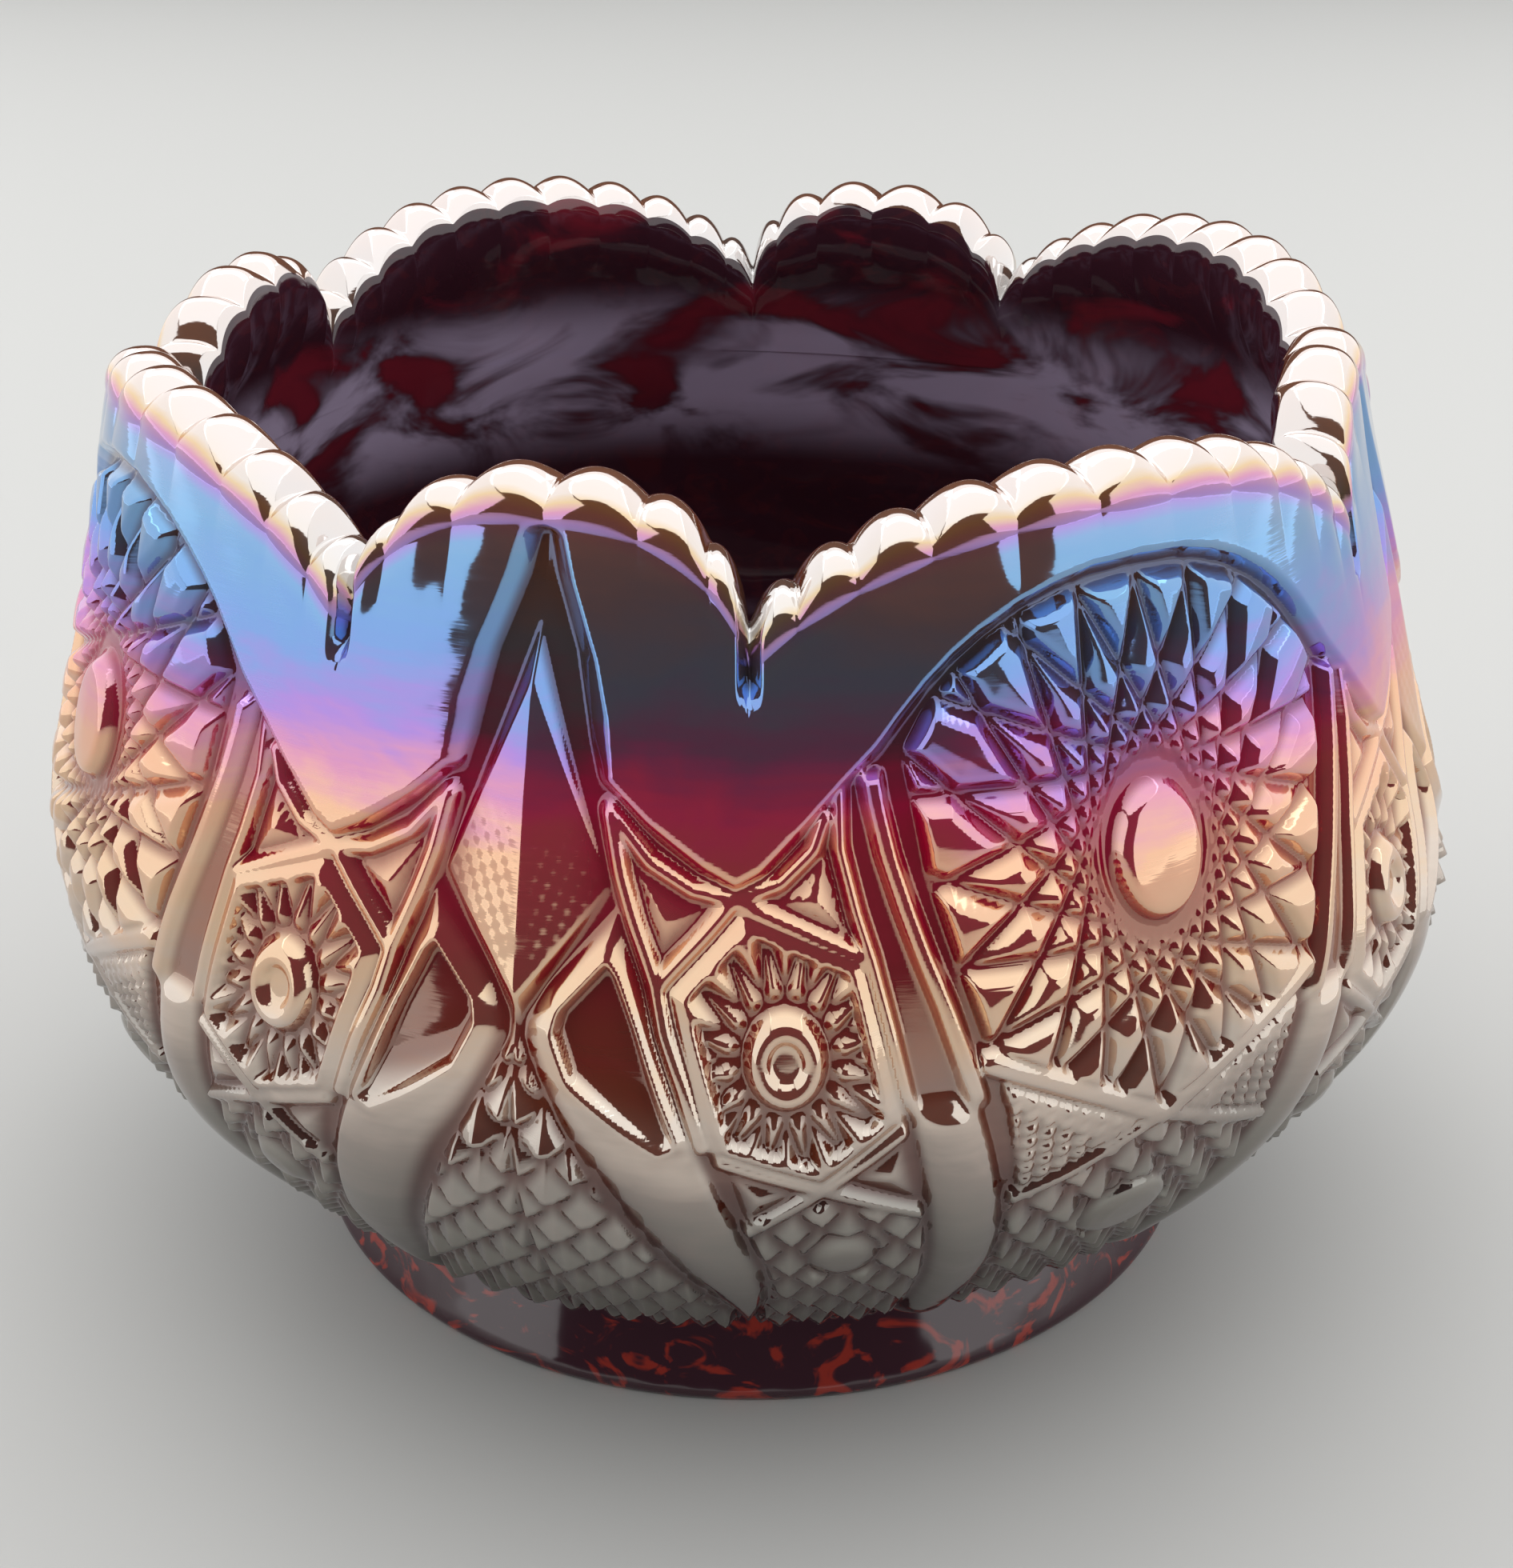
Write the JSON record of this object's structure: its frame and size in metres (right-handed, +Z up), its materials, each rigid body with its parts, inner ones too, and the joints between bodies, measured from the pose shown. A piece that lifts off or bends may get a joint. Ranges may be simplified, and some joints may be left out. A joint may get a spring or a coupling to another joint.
{
  "type": "carnival glass bowl",
  "caption": "Deep pressed-glass bowl with a scalloped, lobed rim, a bulging patterned wall and a plain collar foot, in dark iridised glass.",
  "frame": {"origin": "centre of the foot's resting plane", "axes": "+Z up through the bowl's mouth; the middle of a short scallop, with the spear below it, faces -Y, and the same faces +X, +Y and -X"},
  "size_m": [0.2036, 0.2036, 0.1382],
  "materials": {
    "iridised_glass": "dark amethyst glass, fire-polished, with a metallic rainbow film fired on the outside"
  },
  "bodies": {
    "root": {"pressed_glass_bowl": "iridised_glass"}
  },
  "joints": []
}
